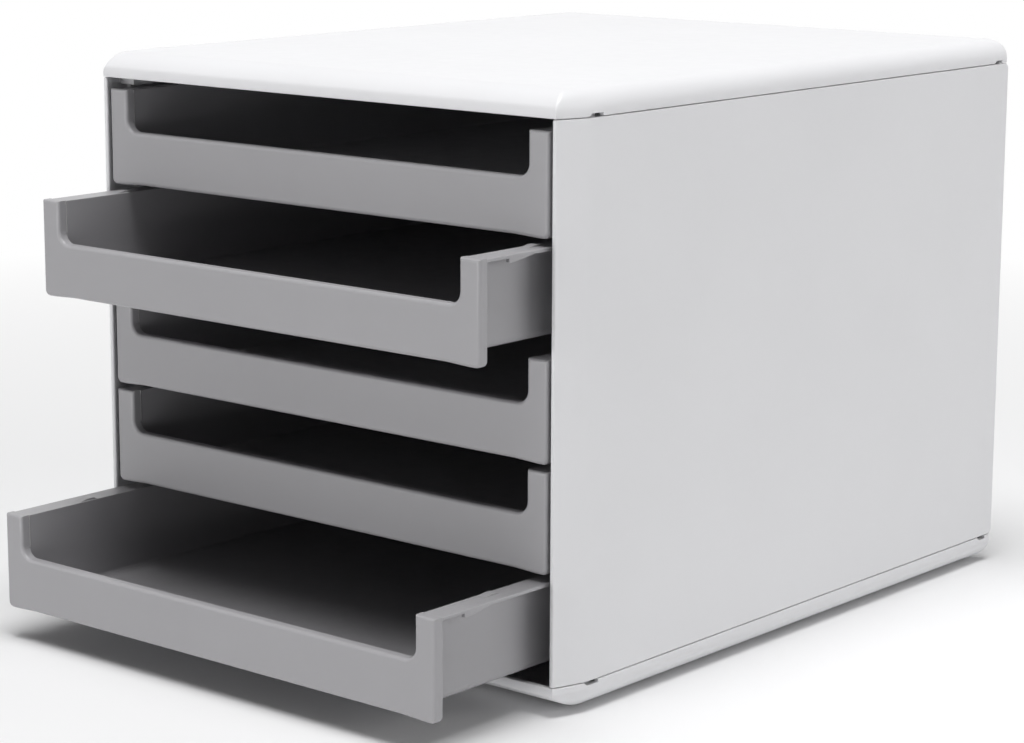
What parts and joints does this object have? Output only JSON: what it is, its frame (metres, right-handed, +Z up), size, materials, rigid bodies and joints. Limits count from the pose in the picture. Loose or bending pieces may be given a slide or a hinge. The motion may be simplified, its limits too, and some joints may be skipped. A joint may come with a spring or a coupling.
{
  "type": "desktop file drawer",
  "caption": "Desktop box of flat pull-out trays for paper, with finger cut-outs in their fronts, in a rounded snap-together casing.",
  "frame": {"origin": "centre of the bottom of the bounding box, in the plane of the feet's undersides", "axes": "+Z up, -Y the front that the trays pull out of, +X the right-hand side seen from the front"},
  "size_m": [0.275, 0.4072, 0.2587],
  "materials": {
    "shell": "white, fine satin grain",
    "tray": "mid grey, fine satin grain",
    "foot": "black, dull"
  },
  "bodies": {
    "casing": {"top_cover": "shell", "base_cover": "shell", "side_panel_left": "shell", "side_panel_right": "shell", "back_panel": "shell", "foot_front_left": "foot", "foot_front_right": "foot", "foot_rear_left": "foot", "foot_rear_right": "foot"},
    "drawer_1": {"drawer_1": "tray"},
    "drawer_2": {"drawer_2": "tray"},
    "drawer_3": {"drawer_3": "tray"},
    "drawer_4": {"drawer_4": "tray"},
    "drawer_5": {"drawer_5": "tray"}
  },
  "joints": [
    {"name": "drawer_1_slide", "type": "slide", "parent": "casing", "child": "drawer_1", "axis": [0, -1, 0], "range_m": [0, 0.24]},
    {"name": "drawer_2_slide", "type": "slide", "parent": "casing", "child": "drawer_2", "axis": [0, -1, 0], "range_m": [-0.0418, 0.1982]},
    {"name": "drawer_3_slide", "type": "slide", "parent": "casing", "child": "drawer_3", "axis": [0, -1, 0], "range_m": [0, 0.24]},
    {"name": "drawer_4_slide", "type": "slide", "parent": "casing", "child": "drawer_4", "axis": [0, -1, 0], "range_m": [0, 0.24]},
    {"name": "drawer_5_slide", "type": "slide", "parent": "casing", "child": "drawer_5", "axis": [0, -1, 0], "range_m": [-0.0684, 0.1716]}
  ]
}
